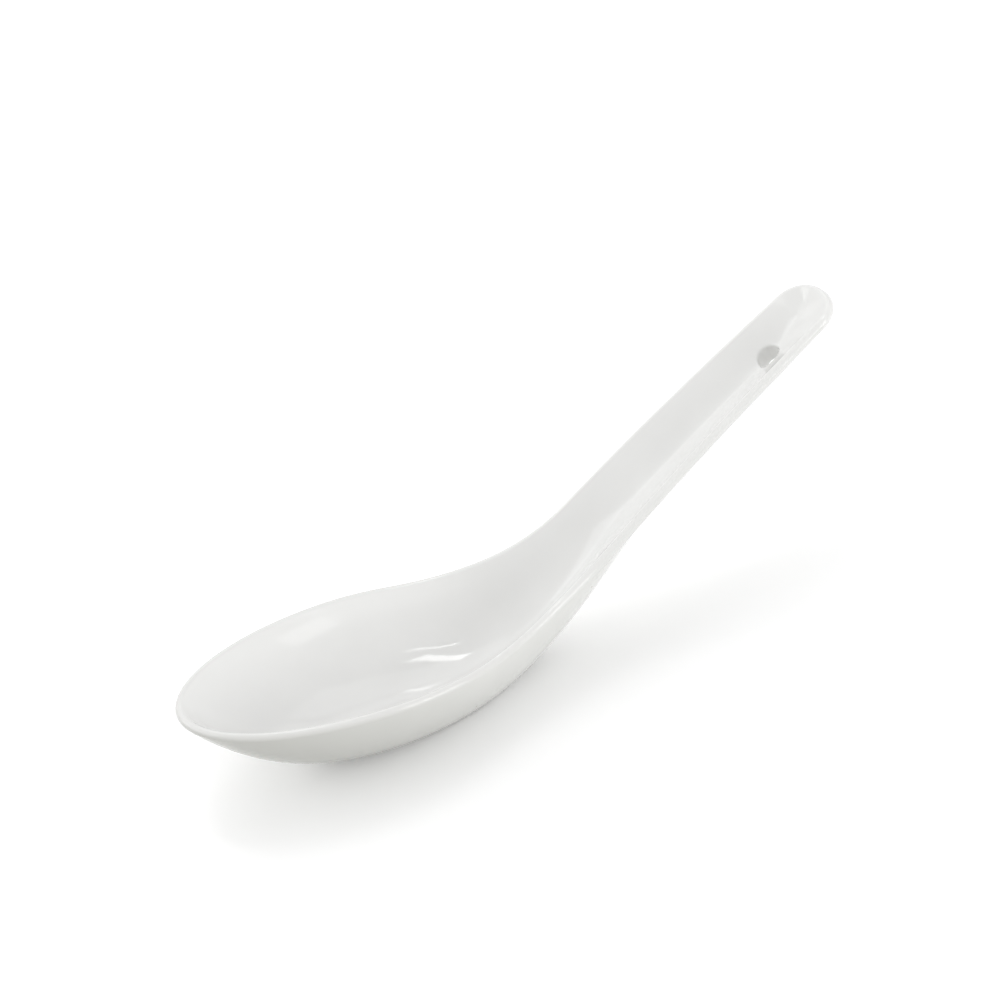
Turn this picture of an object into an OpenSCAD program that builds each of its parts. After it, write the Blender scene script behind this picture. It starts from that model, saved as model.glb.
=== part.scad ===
// Porcelain tasting spoon: a one-piece body with a drilled hanging hole, and the fired
// glaze that covers it everywhere but on its ground foot.
// X runs from the bowl's tip to the handle, Z is up, and the foot stands on Z = 0.

/* [Rim line] */
// Length along the rim line, from the bowl's tip to the handle's end
rim_length = 140; // [128:0.5:152]
// Slope of the rim line at the bowl's tip, in degrees
tip_slope = -6; // [-12:0.5:2]
// Slope of the rim line where the neck starts to rise, in degrees
bowl_slope = -8; // [-14:0.5:0]
// Slope of the rim line where the neck ends, in degrees
neck_slope = 27; // [18:0.5:36]
// Slope of the rim line at the handle's end, in degrees
end_slope = 22; // [14:0.5:34]
// Length along the rim line at which the neck starts to rise
neck_start = 46; // [40:1:54]
// Length along the rim line at which the neck ends
neck_end = 81; // [72:0.5:92]

/* [Bowl] */
// Width of the bowl over its rim
bowl_width = 41; // [34:0.5:50]
// Length along the rim line from the tip to the widest place
bowl_front = 34.5; // [28:0.5:40]
// Length along the rim line over which the bowl narrows to the handle
bowl_taper = 50; // [42:1:60]
// How soon the bowl narrows: a higher power narrows sooner
taper_power = 3.5; // [2.4:0.1:4.4]
// Depth of the well below the rim line
well_depth = 12.2; // [9:0.1:14.5]
// Thickness of the well's floor, glaze included
floor_t = 5.8; // [4.8:0.1:7]
// Length of the level floor ahead of the widest place
floor_front = 6; // [4:0.5:12]
// Length of the level floor behind the widest place
floor_back = 4; // [0:0.5:8]
// Length over which the well runs out into the handle's channel
well_run = 54.5; // [48:0.5:66]
// How soon the well runs out: a higher power runs out sooner
well_power = 2.25; // [1.6:0.05:3]
// Radius of the bowl's lip
lip_r = 0.8; // [0.7:0.05:1.2]
// Squareness of the well's section: higher has a flatter floor and steeper walls
well_square = 0.66; // [0.5:0.01:0.8]
// Squareness of the belly's section under the well
belly_square = 0.65; // [0.5:0.01:0.75]
// How much less square the belly is at the tip
tip_slack = 0.11; // [0:0.01:0.2]

/* [Handle] */
// Width of the handle at the neck
neck_width = 22; // [17:0.1:24]
// Width of the handle at its rounded end
end_width = 15.2; // [13:0.1:18]
// Length of the rounded end
end_round = 6.5; // [5:0.5:10]
// Squareness of the rounded end: 1 is an ellipse, lower is squarer
end_power = 0.9; // [0.7:0.05:1]
// Depth of the handle's channel
channel_depth = 3.2; // [2.6:0.1:4.2]
// Depth of the channel where it runs out at the rounded end
end_depth = 1; // [0.6:0.1:2]
// Length along the rim line over which the channel runs out at the handle's end
end_run = 17.5; // [12:0.5:22]
// Thickness of the handle under the channel, glaze included
handle_t = 3.6; // [3:0.1:4.4]
// Radius of the handle's lip
handle_lip_r = 0.9; // [0.8:0.05:1.2]
// Squareness of the channel's section
channel_square = 0.3; // [0.2:0.01:0.45]
// Squareness of the handle's underside
underside_square = 0.32; // [0.25:0.01:0.5]

/* [Hanging hole] */
// Diameter of the hole through the glaze that lines it
hole_d = 4.5; // [3:0.1:6]
// Length along the rim line from the hole's centre to the handle's end
hole_inset = 15; // [11:0.5:24]

/* [Foot] */
// Depth ground off the body's belly to make the flat foot
foot_ground = 1.5; // [1:0.05:1.9]
// Height of the bare ring between the foot and the glaze's edge
foot_bare = 0.4; // [0.2:0.05:0.8]

/* [Glaze] */
// Thickness of the fired glaze
glaze_t = 0.3; // [0.2:0.05:0.5]

/* [Hidden] */

// Sections round the tip, along the bowl and handle, and round the handle's end
tip_sections = 11;
side_sections = 24;
end_sections = 7;
// Points on a half section: inner wall, lip and outer wall
inner_points = 7;
lip_points = 6;
outer_points = 9;
bore_facets = 48;
porcelain_white = [0.93, 0.92, 0.89];
glaze_white = [0.97, 0.97, 0.95];

bowl_r = bowl_width / 2;
neck_r = neck_width / 2;
end_r = end_width / 2;
shoulder = rim_length - end_round;
taper_mid = bowl_front + bowl_taper / 2;
deep_end = bowl_front + floor_back;
// The channel's floor line stops this far past the shoulder of the rounded end
end_hub = 2;
// Weight of the section's curves, between a slack arc and a parabola
curve_weight = 0.8;
// How fast the tip's slack fades towards the widest place
tip_power = 1.5;
// How the channel runs out: it leaves its full depth and meets its end depth level
run_power = 1.5;
run_start = rim_length - end_run;
hole_at = rim_length - hole_inset;
// The drill passes the handle's underside by the height of its lip
hole_reach = channel_depth + handle_t + 2 * handle_lip_r;
// Reach of the cutting tools past the solids that they cut
reach = 200;

function mix(from, to, t) = from + (to - from) * t;
function clamp01(t) = min(max(t, 0), 1);
function fade(t, power) = pow(1 - pow(clamp01(t), 2), power);

// One tangent arc of the rim line: the place [x, z, slope] after a length that ends at a slope
function along(place, length, slope) =
    let (turn = slope - place[2])
    abs(turn) < 0.01
    ? [place[0] + length * cos(slope), place[1] + length * sin(slope), slope]
    : let (r = length / (turn * PI / 180))
      [place[0] + r * (sin(slope) - sin(place[2])), place[1] + r * (cos(place[2]) - cos(slope)), slope];

tip_place = [0, 0, tip_slope];
neck_start_place = along(tip_place, neck_start, bowl_slope);
neck_end_place = along(neck_start_place, neck_end - neck_start, neck_slope);

// The rim line in side view: bowl, neck and handle arcs, each tangent to the next
function rim(s) =
    s < neck_start
    ? along(tip_place, s, mix(tip_slope, bowl_slope, s / neck_start))
    : s < neck_end
    ? along(neck_start_place, s - neck_start,
            mix(bowl_slope, neck_slope, (s - neck_start) / (neck_end - neck_start)))
    : along(neck_end_place, s - neck_end,
            mix(neck_slope, end_slope, (s - neck_end) / (rim_length - neck_end)));

// Half width of the plan outline along the bowl and the handle
function half_width(s) =
    mix(neck_r, end_r, clamp01((s - taper_mid) / (rim_length - taper_mid)))
    + (bowl_r - neck_r) * fade((s - bowl_front) / bowl_taper, taper_power);

// Stations round half the plan outline: [s and y on the rim, s on the floor line]
function tip_station(u) =
    [bowl_front * (1 - cos(u)), bowl_r * sin(u), bowl_front - floor_front * cos(u)];
function side_station(s) = [s, half_width(s), s];
function end_station(v) =
    [shoulder + end_round * pow(sin(v), end_power),
     half_width(shoulder) * pow(cos(v), end_power),
     shoulder + end_hub * sin(v)];
stations = concat(
    [for (i = [0 : tip_sections - 1]) tip_station(90 * i / tip_sections)],
    [for (i = [0 : side_sections - 1]) side_station(mix(bowl_front, shoulder, i / side_sections))],
    [for (i = [0 : end_sections]) end_station(90 * i / end_sections)]);

// Point on the weighted curve from a to c that both lines through b touch
function conic(a, b, c, t) =
    let (weights = [pow(1 - t, 2), 2 * curve_weight * t * (1 - t), t * t])
    (weights[0] * a + weights[1] * b + weights[2] * c) / (weights[0] + weights[1] + weights[2]);

// Slope of the line from a turning point that touches the lip's arc on its inner or outer side
function lip_tangent(turn, centre, lip, side) =
    atan2(centre[1] - turn[1], centre[0] - turn[0]) + side * asin(lip / norm(centre - turn));

// Half section from the floor over the lip to the keel: [distance from the centre line, height].
// The lip is an arc, and a curve tangent to it runs in to the floor and another to the keel.
// The inset moves all of them into the wall alike.
function half_section(r_out, lip, floor_h, keel_h, inner_square, outer_square, inset) =
    let (centre = [r_out - lip, -lip])
    let (inner_slope = lip_tangent([inner_square * (r_out - 2 * lip), -floor_h], centre, lip, 1))
    let (outer_slope = lip_tangent([outer_square * r_out, -keel_h], centre, lip, -1))
    let (r = lip - inset)
    let (inner_end = centre + r * [-sin(inner_slope), cos(inner_slope)])
    let (outer_end = centre + r * [sin(outer_slope), -cos(outer_slope)])
    let (floor_z = -floor_h - inset)
    let (keel_z = -keel_h + inset)
    let (inner_turn = [inner_end[0] - (inner_end[1] - floor_z) / tan(inner_slope), floor_z])
    let (outer_turn = [outer_end[0] - (outer_end[1] - keel_z) / tan(outer_slope), keel_z])
    concat(
        [for (i = [0 : inner_points]) conic([0, floor_z], inner_turn, inner_end, i / inner_points)],
        [for (i = [1 : lip_points - 1])
            let (angle = mix(90 + inner_slope, outer_slope - 90, i / lip_points))
            centre + r * [cos(angle), sin(angle)]],
        [for (i = [0 : outer_points]) conic(outer_end, outer_turn, [0, keel_z], i / outer_points)]);

// The half section at a station, with its sizes blended from the handle's to the bowl's
function station_section(station, inset) =
    let (bowl = fade((station[2] - deep_end) / well_run, well_power))
    let (tip = pow(clamp01(1 - station[0] / bowl_front), tip_power))
    let (arm = [station[0] - station[2], station[1]])
    let (run = fade((station[2] - run_start) / (shoulder + end_hub - run_start), run_power))
    let (floor_h = mix(mix(end_depth, channel_depth, run), well_depth, bowl))
    let (section = half_section(
        norm(arm),
        mix(handle_lip_r, lip_r, bowl),
        floor_h,
        floor_h + mix(handle_t, floor_t, bowl),
        mix(channel_square, well_square, bowl),
        mix(underside_square, belly_square, bowl) - tip_slack * tip,
        inset))
    [for (p = section)
        let (place = rim(station[2] + p[0] * arm[0] / norm(arm)))
        [place[0] - p[1] * sin(place[2]), p[0] * arm[1] / norm(arm), place[1] + p[1] * cos(place[2])]];

// The lowest point of the body's keel is ground off to make the foot, which carries the origin
keel = [for (station = stations) let (section = station_section(station, glaze_t)) section[len(section) - 1]];
keel_low = min([for (p = keel) p[2]]);
foot_place = [for (p = keel) if (p[2] == keel_low) p][0];
lift = [-foot_place[0], 0, -keel_low - foot_ground];

// Closed skin of the spoon, inset from its finished surface: each station's half section and its
// mirror image make a ring, and the sections at the tip and at the handle's end close the skin
module skin(inset) {
    halves = [for (station = stations) station_section(station, inset)];
    last = len(stations) - 1;
    half_n = len(halves[0]);
    ring_n = 2 * half_n - 2;
    points = [for (k = [0 : last])
        each k == 0 || k == last
        ? [for (p = halves[k]) [p[0], 0, p[2]]]
        : [for (j = [0 : ring_n - 1])
            let (m = min(j, ring_n - j))
            let (p = halves[k][m])
            [p[0], m == 0 || m == half_n - 1 ? 0 : j < half_n ? p[1] : -p[1], p[2]]]];
    function at(k, j) =
        let (ring = j % ring_n)
        k == 0 ? min(ring, ring_n - ring)
        : half_n + (k - 1) * ring_n + (k == last ? min(ring, ring_n - ring) : ring);
    // Each cell's diagonal starts from its corner off the mirror plane, so no face lies in that plane
    faces = [for (k = [0 : last - 1]) for (j = [0 : ring_n - 1])
        let (right = j < half_n - 1)
        let (inside = (right ? j : ring_n - 1 - j) < inner_points + lip_points / 2)
        each (inside == (k < last / 2)) == right
        ? [[at(k + 1, j), at(k, j), at(k + 1, j + 1)], [at(k + 1, j + 1), at(k, j), at(k, j + 1)]]
        : [[at(k + 1, j), at(k, j), at(k, j + 1)], [at(k + 1, j + 1), at(k + 1, j), at(k, j + 1)]]];
    translate(lift) polyhedron(points, faces);
}

// Hanging hole, square to the handle's rim line
module hole(r) {
    place = rim(hole_at);
    translate(lift + [place[0], 0, place[1]])
        rotate([0, -place[2], 0])
        cylinder(r = r, h = 2 * hole_reach, center = true, $fn = bore_facets);
}

module below(z) {
    translate([-reach, -reach, z - reach]) cube([2 * reach, 2 * reach, reach]);
}

// Body before its foot is ground
module drilled_body() {
    difference() {
        skin(glaze_t);
        hole(hole_d / 2 + glaze_t);
    }
}

// One-piece porcelain body: bowl, neck and channelled handle, with a bare flat foot
module porcelain_body() {
    color(porcelain_white)
    difference() {
        drilled_body();
        below(0);
    }
}

// Fired glaze over the body and through its hole, wiped clear of the foot
module glaze_coat() {
    color(glaze_white)
    difference() {
        skin(0);
        drilled_body();
        hole(hole_d / 2);
        below(foot_bare);
    }
}

porcelain_body();
glaze_coat();
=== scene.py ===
import math

import bmesh
import bpy
import numpy as np
from mathutils import Matrix, Vector


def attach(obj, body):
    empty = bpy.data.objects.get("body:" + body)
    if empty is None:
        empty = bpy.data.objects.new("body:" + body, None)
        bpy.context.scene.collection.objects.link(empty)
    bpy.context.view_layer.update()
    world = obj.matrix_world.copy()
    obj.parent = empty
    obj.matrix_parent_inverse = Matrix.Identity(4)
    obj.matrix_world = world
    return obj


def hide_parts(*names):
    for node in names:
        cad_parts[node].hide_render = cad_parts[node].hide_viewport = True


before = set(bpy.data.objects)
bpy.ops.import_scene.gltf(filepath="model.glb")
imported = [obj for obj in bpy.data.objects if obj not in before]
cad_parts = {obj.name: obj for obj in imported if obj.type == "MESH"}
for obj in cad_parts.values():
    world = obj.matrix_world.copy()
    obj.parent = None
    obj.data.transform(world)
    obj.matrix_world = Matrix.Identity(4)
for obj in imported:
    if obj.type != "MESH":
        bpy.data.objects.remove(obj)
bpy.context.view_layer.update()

MM = 0.001

# Sizes of the part, in millimetres and degrees, as in its source
RIM_LENGTH = 140.0
TIP_SLOPE = math.radians(-6)
BOWL_SLOPE = math.radians(-8)
NECK_SLOPE = math.radians(27)
END_SLOPE = math.radians(22)
NECK_START = 46.0
NECK_END = 81.0
BOWL_R = 20.5
BOWL_FRONT = 34.5
BOWL_TAPER = 50.0
TAPER_POWER = 3.5
WELL_DEPTH = 12.2
FLOOR_T = 5.8
FLOOR_FRONT = 6.0
FLOOR_BACK = 4.0
WELL_RUN = 54.5
WELL_POWER = 2.25
LIP_R = 0.8
WELL_SQUARE = 0.66
BELLY_SQUARE = 0.65
TIP_SLACK = 0.11
TIP_POWER = 1.5
NECK_R = 11.0
END_R = 7.6
END_ROUND = 6.5
END_POWER = 0.9
END_HUB = 2.0
CHANNEL_DEPTH = 3.2
END_DEPTH = 1.0
END_RUN = 17.5
RUN_POWER = 1.5
HANDLE_T = 3.6
HANDLE_LIP_R = 0.9
CHANNEL_SQUARE = 0.3
UNDERSIDE_SQUARE = 0.32
CURVE_WEIGHT = 0.8
HOLE_R = 2.25
HOLE_INSET = 15.0
FOOT_GROUND = 1.5
FOOT_BARE = 0.4
GLAZE_T = 0.3
# Sections of the part's own solids, whose lowest keel point carries the origin
PART_SECTIONS = (11, 24, 7)

SHOULDER = RIM_LENGTH - END_ROUND
TAPER_MID = BOWL_FRONT + BOWL_TAPER / 2
DEEP_END = BOWL_FRONT + FLOOR_BACK
HOLE_AT = RIM_LENGTH - HOLE_INSET
RUN_START = RIM_LENGTH - END_RUN

# Fineness of the visual surface
TIP_N = 40
SIDE_N = (88, 14, 6)
END_N = 22
INNER_N = 22
LIP_N = 14
OUTER_N = 26
# Half length of the window in the grid round the hole, and its columns on each side
WINDOW = 5.0
WINDOW_N = 14
PATCH_N = 7
MOUTH_N = 6
WALL_N = 4
# Radius of the hole's mouths, where the glaze flows round the edge
MOUTH_R = 0.45
# Counts of the sections that give heights near the hole, and the step for their slope
HEIGHT_COUNTS = (120, 2, 120)
SLOPE_STEP = 0.05
# Distance within which a vertex counts as on the plane of a cut, in metres
CUT_TOLERANCE = 1e-7

# Name of the vertex layer that says where the glaze greys the bowl's lip: partly thinner glaze at the
# edge, partly painted shade that tones down the lip's light
THIN_GLAZE_AND_LIP_SHADE = "thin_glaze_and_lip_shade"

# Camera found by fitting the part's outline, rim and hole to the photograph
VIEW_AZIMUTH = math.radians(-15.8016)
VIEW_ELEVATION = math.radians(30.4759)
VIEW_ROLL = math.radians(16.5970)
VIEW_DISTANCE = 0.45
VIEW_TARGET = (65.4827, 33.5344)
PIXELS_PER_MM = 5.7636
IMAGE_SIZE = 1000
SENSOR = 36.0

# Level above which a cell of the glaze has a speck, and the speck's radius in cells
SPECK_FREE = 0.955
SPECK_R = 0.07

# Studio, in metres
FLOOR_R = 1.3
FLOOR_SIDES = 96
# Hair's breadth between the ground foot and the floor, so that their faces don't coincide
FLOOR_GAP = 0.00002
# Stretch along X over which the floor's bounce colour, painted shade under the tip, brightens
FLOOR_BOUNCE = (-0.045, 0.035)
# Distances over which the floor passes into the background
FLOOR_FADE = (0.4, 1.1)
FLOOR_GLOW = 0.1
PANEL_DISTANCE = 1.6
WHITE = (1, 1, 1, 1)
# Even soft light on the spoon from all round
SOFT_LIGHT = 0.625


def mix(a, b, t):
    """Value between a and b at a share t."""
    return a + (b - a) * t


def fade(t, power):
    """1 up to t = 0, which falls smoothly to 0 at t = 1."""
    return (1 - np.clip(t, 0, 1) ** 2) ** power


def along(start, length, slope):
    """Place [x, z, slope] after a tangent arc of a length that ends at a slope."""
    x, z, first = start
    chord = length * np.sinc((slope - first) / (2 * np.pi))
    mean = (slope + first) / 2
    return np.array([x + chord * np.cos(mean), z + chord * np.sin(mean), slope + 0 * length])


TIP_PLACE = np.array([0.0, 0.0, TIP_SLOPE])
NECK_PLACE = along(TIP_PLACE, NECK_START, BOWL_SLOPE)
ARM_PLACE = along(NECK_PLACE, NECK_END - NECK_START, NECK_SLOPE)


def rim(s):
    """The rim line in side view: bowl, neck and handle arcs, each tangent to the next."""
    s = np.asarray(s, float)
    neck_t = (s - NECK_START) / (NECK_END - NECK_START)
    arm_t = (s - NECK_END) / (RIM_LENGTH - NECK_END)
    bowl = along(TIP_PLACE, s, mix(TIP_SLOPE, BOWL_SLOPE, s / NECK_START))
    neck = along(NECK_PLACE, s - NECK_START, mix(BOWL_SLOPE, NECK_SLOPE, neck_t))
    arm = along(ARM_PLACE, s - NECK_END, mix(NECK_SLOPE, END_SLOPE, arm_t))
    return np.where(s < NECK_START, bowl, np.where(s < NECK_END, neck, arm))


def place(s, y, n):
    """Point at a length along the rim line, a distance across it and a height square to it."""
    x, z, slope = rim(s)
    return np.stack(np.broadcast_arrays(x - n * np.sin(slope), y, z + n * np.cos(slope)), -1)


def half_width(s):
    """Half the plan width behind the bowl's front: the taper of the bowl on that of the handle."""
    arm = np.clip((s - TAPER_MID) / (RIM_LENGTH - TAPER_MID), 0, 1)
    bowl = fade((s - BOWL_FRONT) / BOWL_TAPER, TAPER_POWER)
    return mix(NECK_R, END_R, arm) + (BOWL_R - NECK_R) * bowl


def stations(tip_n, side, end_n):
    """Rows round half the plan outline: s and y on the rim, and s on the floor line."""
    u = np.linspace(0, np.pi / 2, tip_n, endpoint=False)
    v = np.linspace(0, np.pi / 2, end_n + 1)
    cos_v = np.maximum(np.cos(v), 0)
    s = [BOWL_FRONT * (1 - np.cos(u)), side, SHOULDER + END_ROUND * np.sin(v) ** END_POWER]
    y = [BOWL_R * np.sin(u), half_width(side), half_width(SHOULDER) * cos_v ** END_POWER]
    m = [BOWL_FRONT - FLOOR_FRONT * np.cos(u), side, SHOULDER + END_HUB * np.sin(v)]
    y[2][-1] = 0
    return np.stack([np.concatenate(s), np.concatenate(y), np.concatenate(m)], 1)


def conic(a, b, c, t):
    """Points on the weighted curve from a to c that both lines through b touch."""
    w = np.stack([(1 - t) ** 2, 2 * CURVE_WEIGHT * t * (1 - t), t * t], 1)
    return w @ np.array([a, b, c]) / w.sum(1, keepdims=True)


def lip_tangent(turn, centre, lip, side):
    """Slope of the line from a turning point that touches one side of the lip's circle."""
    dx, dz = centre - turn
    return math.atan2(dz, dx) + side * math.asin(lip / math.hypot(dx, dz))


def section(station, inset, counts):
    """Half section at a station: inner wall, lip and outer wall as [distance, height], and direction."""
    s, y, m = station
    inner_n, lip_n, outer_n = counts
    bowl = float(fade((m - DEEP_END) / WELL_RUN, WELL_POWER))
    tip = min(max(1 - s / BOWL_FRONT, 0), 1) ** TIP_POWER
    arm = np.array([s - m, y])
    span = np.linalg.norm(arm)
    lip = mix(HANDLE_LIP_R, LIP_R, bowl)
    run = float(fade((m - RUN_START) / (SHOULDER + END_HUB - RUN_START), RUN_POWER))
    floor_h = mix(mix(END_DEPTH, CHANNEL_DEPTH, run), WELL_DEPTH, bowl)
    keel_h = floor_h + mix(HANDLE_T, FLOOR_T, bowl)
    inner_square = mix(CHANNEL_SQUARE, WELL_SQUARE, bowl)
    outer_square = mix(UNDERSIDE_SQUARE, BELLY_SQUARE, bowl) - TIP_SLACK * tip
    centre = np.array([span - lip, -lip])
    inner_slope = lip_tangent(np.array([inner_square * (span - 2 * lip), -floor_h]), centre, lip, 1)
    outer_slope = lip_tangent(np.array([outer_square * span, -keel_h]), centre, lip, -1)
    r = lip - inset
    inner_end = centre + r * np.array([-math.sin(inner_slope), math.cos(inner_slope)])
    outer_end = centre + r * np.array([math.sin(outer_slope), -math.cos(outer_slope)])
    floor_z = -floor_h - inset
    keel_z = -keel_h + inset
    inner_turn = [inner_end[0] - (inner_end[1] - floor_z) / math.tan(inner_slope), floor_z]
    outer_turn = [outer_end[0] - (outer_end[1] - keel_z) / math.tan(outer_slope), keel_z]
    angle = np.linspace(math.pi / 2 + inner_slope, outer_slope - math.pi / 2, lip_n + 1)[1:-1]
    inner = conic([0, floor_z], inner_turn, inner_end, np.linspace(0, 1, inner_n + 1))
    edge = centre + r * np.stack([np.cos(angle), np.sin(angle)], 1)
    outer = conic(outer_end, outer_turn, [0, keel_z], np.linspace(0, 1, outer_n + 1))
    return inner, edge, outer, arm / span


def section_points(station, inset, counts):
    """Points of a half section, from the floor line over the lip to the keel."""
    inner, edge, outer, arm = section(station, inset, counts)
    p = np.concatenate([inner, edge, outer])
    return place(station[2] + p[:, 0] * arm[0], p[:, 0] * arm[1], p[:, 1])


def part_lift():
    """The move that puts the part's lowest keel point, once ground, on the origin."""
    side = np.linspace(BOWL_FRONT, SHOULDER, PART_SECTIONS[1], endpoint=False)
    rows = stations(PART_SECTIONS[0], side, PART_SECTIONS[2])
    keel = np.array([section_points(row, GLAZE_T, (1, 2, 1))[-1] for row in rows])
    low = keel[np.argmin(keel[:, 2])]
    return np.array([-low[0], 0, -low[2] - FOOT_GROUND])


LIFT = part_lift()
SIDE = np.concatenate([
    np.linspace(BOWL_FRONT, HOLE_AT - WINDOW, SIDE_N[0], endpoint=False),
    np.linspace(HOLE_AT - WINDOW, HOLE_AT + WINDOW, SIDE_N[1], endpoint=False),
    np.linspace(HOLE_AT + WINDOW, SHOULDER, SIDE_N[2], endpoint=False),
])
ROWS = stations(TIP_N, SIDE, END_N)
COUNTS = (INNER_N, LIP_N, OUTER_N)
WINDOW_FROM = TIP_N + SIDE_N[0]
WINDOW_TO = WINDOW_FROM + SIDE_N[1]


def height(s, y, inset, top):
    """Height of the channel's floor or of the handle's underside at places near the hole."""
    out = []
    for s_i, y_i in zip(s, np.abs(y)):
        inner, _, outer, _ = section((s_i, half_width(s_i), s_i), inset, HEIGHT_COUNTS)
        curve = inner if top else outer[::-1]
        out.append(np.interp(y_i, curve[:, 0], curve[:, 1]))
    return np.array(out)


def window_loop(right, left, top):
    """Grid vertices round the hole's window, once round from the handle's end, and their rows."""
    last = right.shape[1] - 1
    col = (lambda j: j) if top else (lambda j: last - j)
    a, b, n = WINDOW_FROM, WINDOW_TO, WINDOW_N
    loop = [(right, b, j) for j in range(0, n + 1)]
    loop += [(right, k, n) for k in range(b - 1, a - 1, -1)]
    loop += [(right, a, j) for j in range(n - 1, -1, -1)]
    loop += [(left, a, j) for j in range(1, n + 1)]
    loop += [(left, k, n) for k in range(a + 1, b + 1)]
    loop += [(left, b, j) for j in range(n - 1, 0, -1)]
    return [int(grid[k, col(j)]) for grid, k, j in loop], [k for _, k, _ in loop]


def hole_mouth(add_loop, edge, ring, inset, top):
    """Loops from the window's edge into one mouth of the hole, and the heights where its wall starts."""
    ids, s_edge, y_edge = edge
    r, mouth = HOLE_R + inset, MOUTH_R - inset
    s_ring, y_ring = HOLE_AT + (r + mouth) * ring[0], (r + mouth) * ring[1]
    chain = [ids]
    for i in range(1, PATCH_N + 1):
        t = i / PATCH_N
        s, y = mix(s_edge, s_ring, t), mix(y_edge, y_ring, t)
        chain.append(add_loop(s, y, height(s, y, inset, top)))
    rim_h = height(s_ring, y_ring, inset, top)
    far_h = height(s_ring + SLOPE_STEP * ring[0], y_ring + SLOPE_STEP * ring[1], inset, top)
    turn_h = rim_h - (far_h - rim_h) / SLOPE_STEP * mouth
    wall_h = turn_h + (-mouth if top else mouth)
    for i in range(1, MOUTH_N + 1):
        t = i / MOUTH_N
        w = ((1 - t) ** 2, 2 * t * (1 - t), t * t)
        rho = w[0] * (r + mouth) + (w[1] + w[2]) * r
        n = w[0] * rim_h + w[1] * turn_h + w[2] * wall_h
        chain.append(add_loop(HOLE_AT + rho * ring[0], rho * ring[1], n))
    return chain, wall_h


def drilled_skin(inset):
    """The spoon's skin, inset from its finished surface, with the hanging hole: vertices, how much the
    glaze greys each along the bowl's lip, as thinner glaze and painted shade, and faces."""
    grid = np.array([section_points(row, inset, COUNTS) for row in ROWS])
    rows, cols = grid.shape[:2]
    grid[0, :, 1] = grid[-1, :, 1] = 0
    right = np.arange(rows * cols).reshape(rows, cols)
    left = right.copy()
    left[1:-1, 1:-1] = rows * cols + np.arange((rows - 2) * (cols - 2)).reshape(rows - 2, cols - 2)
    mirrored = grid[1:-1, 1:-1].reshape(-1, 3) * [1, -1, 1]
    verts = list(np.concatenate([grid.reshape(-1, 3), mirrored]))
    # Greying of the bowl's lip: partly thinner glaze, partly painted shade on the lip
    lip_part = np.sin(np.pi * np.clip((np.arange(cols) - INNER_N) / LIP_N, 0, 1))
    thinner_glaze_and_shade = np.outer(fade((ROWS[:, 2] - DEEP_END) / WELL_RUN, WELL_POWER), lip_part)
    thinner_glaze_and_shade = np.concatenate([thinner_glaze_and_shade.ravel(), thinner_glaze_and_shade[1:-1, 1:-1].ravel()])
    faces = []
    for side, turn in ((right, 1), (left, -1)):
        for k in range(rows - 1):
            in_window = WINDOW_FROM <= k < WINDOW_TO
            for j in range(cols - 1):
                if in_window and (j < WINDOW_N or j >= cols - 1 - WINDOW_N):
                    continue
                quad = [side[k, j], side[k + 1, j], side[k + 1, j + 1], side[k, j + 1]]
                faces.append([int(v) for v in quad[::turn]])

    def add_loop(s, y, n):
        start = len(verts)
        verts.extend(place(s, y, n))
        return list(range(start, start + len(s)))

    edges = []
    for top in (True, False):
        ids, ks = window_loop(right, left, top)
        edges.append((ids, ROWS[ks, 0], np.array([verts[i][1] for i in ids])))
    _, s_edge, y_edge = edges[0]
    phi = np.arctan2(y_edge, s_edge - HOLE_AT)
    ring = np.stack([np.cos(phi), np.sin(phi)])
    upper, upper_h = hole_mouth(add_loop, edges[0], ring, inset, True)
    lower, lower_h = hole_mouth(add_loop, edges[1], ring, inset, False)
    r = HOLE_R + inset
    bore = []
    for i in range(1, WALL_N):
        n = mix(upper_h, lower_h, i / WALL_N)
        bore.append(add_loop(HOLE_AT + r * ring[0], r * ring[1], n))
    chain = upper + bore + lower[::-1]
    for a, b in zip(chain[:-1], chain[1:]):
        for i in range(len(a)):
            j = (i + 1) % len(a)
            faces.append([a[i], b[i], b[j], a[j]])
    return (np.array(verts) + LIFT) * MM, np.pad(thinner_glaze_and_shade, (0, len(verts) - len(thinner_glaze_and_shade))), faces


def skin_mesh(inset, cut_z):
    """The drilled skin as a bmesh, with what lies below a height cut away."""
    bm = bmesh.new()
    points, thinner_glaze_and_shade, faces = drilled_skin(inset)
    layer = bm.verts.layers.float.new(THIN_GLAZE_AND_LIP_SHADE)
    verts = [bm.verts.new(p) for p in points]
    for v, value in zip(verts, thinner_glaze_and_shade):
        v[layer] = value
    for f in faces:
        bm.faces.new([verts[i] for i in f])
    bmesh.ops.delete(bm, geom=[v for v in bm.verts if not v.link_faces], context="VERTS")
    bmesh.ops.recalc_face_normals(bm, faces=bm.faces[:])
    bmesh.ops.bisect_plane(
        bm, geom=bm.verts[:] + bm.edges[:] + bm.faces[:], dist=CUT_TOLERANCE,
        plane_co=(0, 0, cut_z), plane_no=(0, 0, -1), clear_outer=True,
    )
    return bm


def open_edges(bm):
    """The edges that the cut has left open, marked so that the shading breaks there."""
    edges = [e for e in bm.edges if e.is_boundary]
    for e in edges:
        e.smooth = False
    return edges


def finish_mesh(bm, name):
    """Turns the faces outwards, shades them smooth between the marked edges and links the object."""
    bmesh.ops.recalc_face_normals(bm, faces=bm.faces[:])
    for f in bm.faces:
        f.smooth = True
    mesh = bpy.data.meshes.new(name)
    bm.to_mesh(mesh)
    bm.free()
    piece = bpy.data.objects.new(name, mesh)
    bpy.context.scene.collection.objects.link(piece)
    return piece


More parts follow.
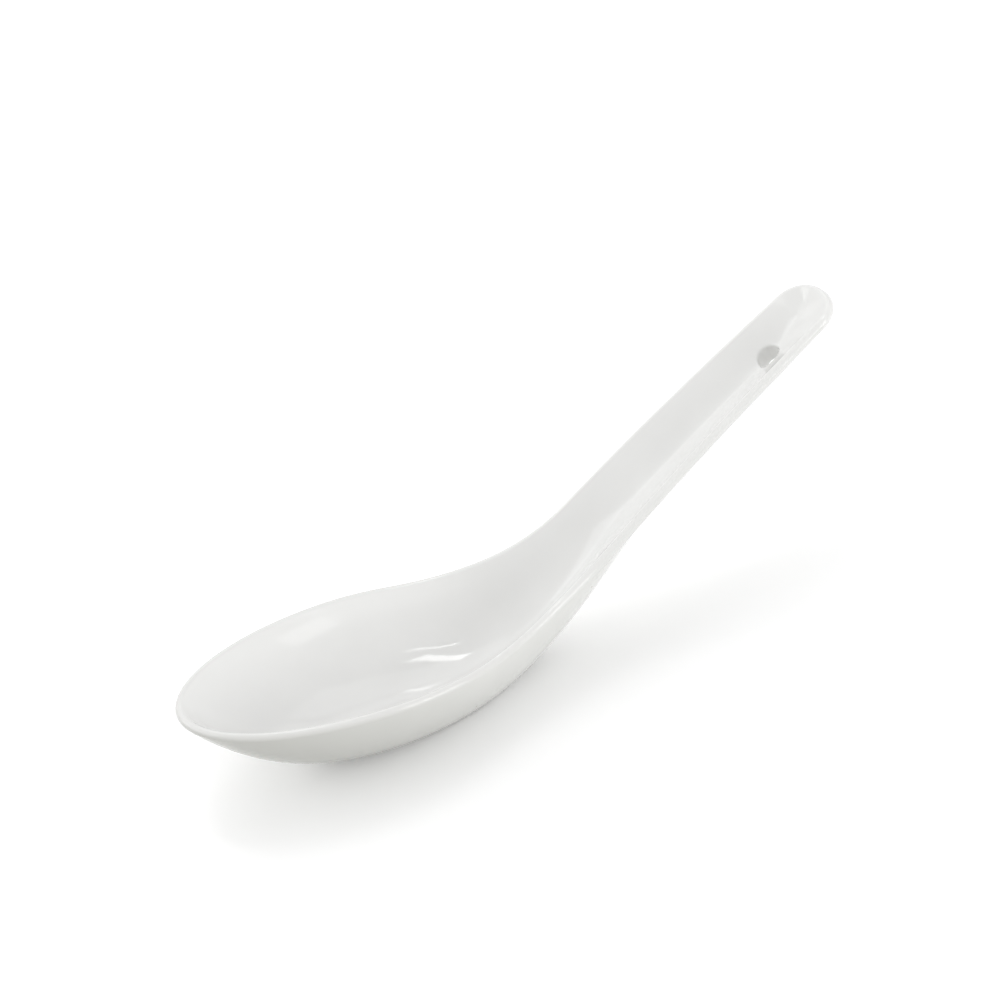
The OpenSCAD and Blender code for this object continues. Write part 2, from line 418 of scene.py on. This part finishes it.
def make_body():
    """Bare body, closed by the ground face of its foot."""
    bm = skin_mesh(GLAZE_T, 0)
    bmesh.ops.contextual_create(bm, geom=open_edges(bm))
    return finish_mesh(bm, "porcelain_bare_body")


def by_turn(verts):
    """Turn of each vertex of a loop round the foot, paired with it, in order once round."""
    xs = [v.co.x for v in verts]
    middle, half = (max(xs) + min(xs)) / 2, (max(xs) - min(xs)) / 2
    reach = max(v.co.y for v in verts)
    turns = [math.atan2(v.co.y / reach, (v.co.x - middle) / half) for v in verts]
    return sorted(zip(turns, verts), key=lambda pair: pair[0])


def make_glaze():
    """Outer skin and lining as one closed coat, joined by a flat ring where it ends above the foot."""
    bm = skin_mesh(0, FOOT_BARE * MM)
    outer_n = len(bm.verts)
    lining = skin_mesh(GLAZE_T, FOOT_BARE * MM)
    spare = bpy.data.meshes.new("lining")
    lining.to_mesh(spare)
    lining.free()
    bm.from_mesh(spare)
    bpy.data.meshes.remove(spare)
    bm.verts.index_update()
    verts = list(dict.fromkeys(v for e in open_edges(bm) for v in e.verts))
    loops = [by_turn([v for v in verts if (v.index < outer_n) == outer]) for outer in (True, False)]
    ends = [loop[-1][1] for loop in loops]
    steps = [(turn, v, k) for k, loop in enumerate(loops) for turn, v in loop]
    for _, v, k in sorted(steps, key=lambda step: step[0]):
        bm.faces.new((*ends, v))
        ends[k] = v
    return finish_mesh(bm, "fired_glaze")


class Nodes:
    """Short helper to make and link the nodes of one material or world."""

    def __init__(self, owner, shader):
        owner.use_nodes = True
        self.owner = owner
        self.tree = owner.node_tree
        self.shader = self.tree.nodes[shader]

    def put(self, node, inputs):
        """Links sockets to a node's inputs, and sets plain values on them."""
        for key, value in inputs.items():
            if isinstance(value, bpy.types.NodeSocket):
                self.tree.links.new(value, node.inputs[key])
            else:
                node.inputs[key].default_value = value

    def add(self, kind, inputs, **settings):
        node = self.tree.nodes.new(kind)
        for key, value in settings.items():
            setattr(node, key, value)
        self.put(node, inputs)
        return node

    def place(self):
        """Where a point is on the object, in metres."""
        return self.add("ShaderNodeTexCoord", {}).outputs["Object"]

    def noise(self, at, scale, detail, roughness=0.5):
        inputs = {"Vector": at, "Scale": scale, "Detail": detail, "Roughness": roughness}
        return self.add("ShaderNodeTexNoise", inputs).outputs["Fac"]

    def calc(self, operation, a, b):
        return self.add("ShaderNodeMath", {0: a, 1: b}, operation=operation).outputs[0]

    def share(self, value, start, end):
        """0 to 1 as a value goes from start to end."""
        inputs = {"Value": value, "From Min": start, "From Max": end}
        return self.add("ShaderNodeMapRange", inputs).outputs["Result"]

    def spread(self, share, low, high):
        """Low to high as a share goes from 0 to 1."""
        inputs = {"Value": share, "To Min": low, "To Max": high}
        return self.add("ShaderNodeMapRange", inputs).outputs["Result"]

    def ramp(self, share, stops):
        """Colour at a share, between two stops of position and colour."""
        node = self.add("ShaderNodeValToRGB", {"Fac": share})
        for element, (position, colour) in zip(node.color_ramp.elements, stops):
            element.position = position
            element.color = (*colour, 1)
        return node.outputs["Color"]

    def blend(self, share, a, b):
        """Colour a, which passes into colour b."""
        return self.add("ShaderNodeMix", {"Factor": share, 6: a, 7: b}, data_type="RGBA").outputs[2]

    def bump(self, height, strength, distance):
        inputs = {"Height": height, "Strength": strength, "Distance": distance}
        return self.add("ShaderNodeBump", inputs).outputs["Normal"]

    def background_rays(self):
        """1 for rays from the camera, mirrored or through glass, which see a white background."""
        path = self.add("ShaderNodeLightPath", {}).outputs
        seen = self.calc("MAXIMUM", path["Is Camera Ray"], path["Is Glossy Ray"])
        return self.calc("MAXIMUM", seen, path["Is Transmission Ray"])

    def show(self, output, share, a, b):
        """Shows shader a, which passes into shader b."""
        both = self.add("ShaderNodeMixShader", {"Fac": share, 1: a.outputs[0], 2: b.outputs[0]})
        self.put(self.tree.nodes[output], {"Surface": both.outputs[0]})


def new_material(name):
    return Nodes(bpy.data.materials.new(name), "Principled BSDF")


def glaze_material():
    """Gloss glaze: a faint cloud, a few specks, a greyer lip (thinner glaze and painted shade) and a
    slight orange peel.
    """
    n = new_material("white_porcelain_glaze")
    at = n.place()
    cloud = n.noise(at, 70.0, 3.0)
    tone = n.ramp(cloud, [(0.3, (0.785, 0.785, 0.773)), (0.7, (0.815, 0.815, 0.803))])
    cell = n.add("ShaderNodeTexVoronoi", {"Vector": at, "Scale": 330.0, "Randomness": 1.0}).outputs
    draw = n.add("ShaderNodeSeparateColor", {"Color": cell["Color"]}).outputs["Red"]
    chosen = n.calc("GREATER_THAN", draw, SPECK_FREE)
    dot = n.calc("LESS_THAN", cell["Distance"], SPECK_R)
    colour = n.blend(n.calc("MULTIPLY", chosen, dot), tone, (0.5, 0.48, 0.42, 1))
    # Painted shade on the bowl's lip, which also stands for thinner glaze there
    thinner_glaze_and_shade = n.add("ShaderNodeAttribute", {}, attribute_name=THIN_GLAZE_AND_LIP_SHADE).outputs["Fac"]
    n.put(n.shader, {
        "Base Color": n.blend(thinner_glaze_and_shade, colour, (0.75, 0.748, 0.733, 1)),
        "Roughness": n.spread(n.noise(at, 240.0, 2.0), 0.05, 0.1),
        "Normal": n.bump(n.noise(at, 160.0, 1.0), 1.0, 0.00002),
        "IOR": 1.5,
    })
    return n.owner


def bare_material():
    """Matt ground porcelain with a fine grain and the marks of grinding along it."""
    n = new_material("bare_fired_porcelain")
    at = n.place()
    grain = n.calc("MULTIPLY", n.noise(at, 2600.0, 3.0, 0.65), n.noise(at, 180.0, 3.0))
    stretch = n.add("ShaderNodeMapping", {"Vector": at, "Scale": (1.0, 14.0, 1.0)}).outputs["Vector"]
    marks = n.noise(stretch, 500.0, 4.0)
    n.put(n.shader, {
        "Base Color": n.ramp(grain, [(0.12, (0.7, 0.67, 0.6)), (0.4, (0.86, 0.84, 0.78))]),
        "Roughness": n.spread(marks, 0.6, 0.9),
        "Normal": n.bump(marks, 0.6, 0.00004),
    })
    return n.owner


def make_camera():
    """Camera at the photograph's angle, turned about the spoon and rolled against it."""
    a, e, ro = VIEW_AZIMUTH, VIEW_ELEVATION, VIEW_ROLL
    back = Vector((math.sin(a) * math.cos(e), -math.cos(a) * math.cos(e), math.sin(e)))
    level = Vector((math.cos(a), math.sin(a), 0))
    up = back.cross(level)
    right = math.cos(ro) * level - math.sin(ro) * up
    top = math.sin(ro) * level + math.cos(ro) * up
    target = Vector(((VIEW_TARGET[0] + LIFT[0]) * MM, 0, VIEW_TARGET[1] * MM))
    data = bpy.data.cameras.new("camera")
    data.sensor_width = SENSOR
    data.lens = PIXELS_PER_MM / MM * VIEW_DISTANCE * SENSOR / IMAGE_SIZE
    data.clip_start = 0.01
    camera = bpy.data.objects.new("camera", data)
    turn = Matrix((right, top, back)).transposed().to_4x4()
    camera.matrix_world = Matrix.Translation(target + VIEW_DISTANCE * back) @ turn
    bpy.context.scene.collection.objects.link(camera)
    bpy.context.scene.camera = camera


def make_floor():
    """Round floor whose bounce colour is darker under the tip, painted shade that throws less light back
    there. As a background it is white, and further off it passes into the white of the world."""
    bm = bmesh.new()
    bmesh.ops.create_circle(bm, cap_ends=True, segments=FLOOR_SIDES, radius=FLOOR_R)
    mesh = bpy.data.meshes.new("floor")
    bm.to_mesh(mesh)
    bm.free()
    floor = bpy.data.objects.new("floor", mesh)
    floor.location.z = -FLOOR_GAP
    bpy.context.scene.collection.objects.link(floor)
    n = new_material("white_floor")
    at = n.place()
    paper = n.ramp(n.noise(at, 900.0, 2.0), [(0.3, (0.97, 0.97, 0.97)), (0.7, (0.98, 0.98, 0.98))])
    along_x = n.add("ShaderNodeSeparateXYZ", {0: at}).outputs["X"]
    # Painted shade: the floor's bounce colour is darker under the tip, which darkens the belly there as
    # a shadow would
    bounce_stops = [(0, (0.38, 0.384, 0.34)), (1, (0.83, 0.834, 0.815))]
    bounce = n.ramp(n.share(along_x, *FLOOR_BOUNCE), bounce_stops)
    seen = n.background_rays()
    n.put(n.shader, {
        "Base Color": n.blend(seen, bounce, paper),
        "Emission Color": WHITE,
        "Emission Strength": n.spread(seen, 0, FLOOR_GLOW),
        "Roughness": 0.9,
        "Specular IOR Level": 0.0,
    })
    away = n.add("ShaderNodeVectorMath", {0: at}, operation="LENGTH").outputs["Value"]
    far_seen = n.calc("MULTIPLY", n.share(away, *FLOOR_FADE), seen)
    backdrop = n.add("ShaderNodeEmission", {"Color": WHITE, "Strength": 1.0})
    n.show("Material Output", far_seen, n.shader, backdrop)
    mesh.materials.append(n.owner)


def make_world():
    """White as a background, and an even soft light on everything else."""
    world = bpy.data.worlds.new("studio")
    bpy.context.scene.world = world
    n = Nodes(world, "Background")
    n.put(n.shader, {"Color": WHITE, "Strength": SOFT_LIGHT})
    white = n.add("ShaderNodeBackground", {"Color": WHITE, "Strength": 1.0})
    n.show("World Output", n.background_rays(), n.shader, white)


def make_lamp(name, at, turn, size, radiance):
    """Rectangular lamp of a size, with its brightness as seen in a reflection."""
    data = bpy.data.lights.new(name, "AREA")
    data.shape = "RECTANGLE"
    data.size, data.size_y = size
    data.energy = radiance * math.pi * size[0] * size[1]
    lamp = bpy.data.objects.new(name, data)
    lamp.matrix_world = Matrix.Translation(at) @ turn.to_4x4()
    bpy.context.scene.collection.objects.link(lamp)


def make_panel(name, azimuth, elevation, size, radiance):
    """Soft lamp that faces the bowl from a direction in degrees, turning from +Y to +X."""
    az, el = math.radians(azimuth), math.radians(elevation)
    out = Vector((math.sin(az) * math.cos(el), math.cos(az) * math.cos(el), math.sin(el)))
    make_lamp(name, out * PANEL_DISTANCE, out.to_track_quat("Z", "Y").to_matrix(), size, radiance)


def make_strip(name, start, end, width, radiance):
    """Long narrow lamp between two points, which faces the bowl."""
    start, end = Vector(start), Vector(end)
    middle = (start + end) / 2
    run = (end - start).normalized()
    out = (middle - middle.dot(run) * run).normalized()
    turn = Matrix((run, out.cross(run), out)).transposed()
    make_lamp(name, middle, turn, ((end - start).length, width), radiance)


body = make_body()
body.data.materials.append(bare_material())
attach(body, "root")
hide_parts("porcelain_body")

glaze = make_glaze()
glaze.data.materials.append(glaze_material())
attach(glaze, "root")
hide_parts("glaze_coat")

make_camera()
make_floor()
make_world()
make_panel("front_panel", 152, 11, (0.84, 0.62), 5.3)
make_panel("window_panel", 148, 37, (0.44, 0.36), 1.2)
make_panel("wide_window_panel", 182, 36, (1.3, 0.5), 0.4)
make_panel("back_panel", 3, 34, (2.0, 0.75), 0.55)
make_panel("left_panel", -66, 30, (1.9, 1.1), 1.3)
make_panel("top_panel", 22, 60, (1.3, 0.7), 0.8)
make_strip("top_strip", (0.18, 0.045, 1.2), (-0.018, 0.5, 1.2), 0.11, 6.0)
make_strip("top_thin_strip", (0.161, -0.16, 1.2), (-0.106, 0.006, 1.2), 0.035, 6.0)
make_strip("back_thin_strip", (0.373, 0.826, 0.932), (0.298, 1.007, 0.766), 0.03, 3.0)

bpy.context.scene.view_settings.view_transform = "Standard"
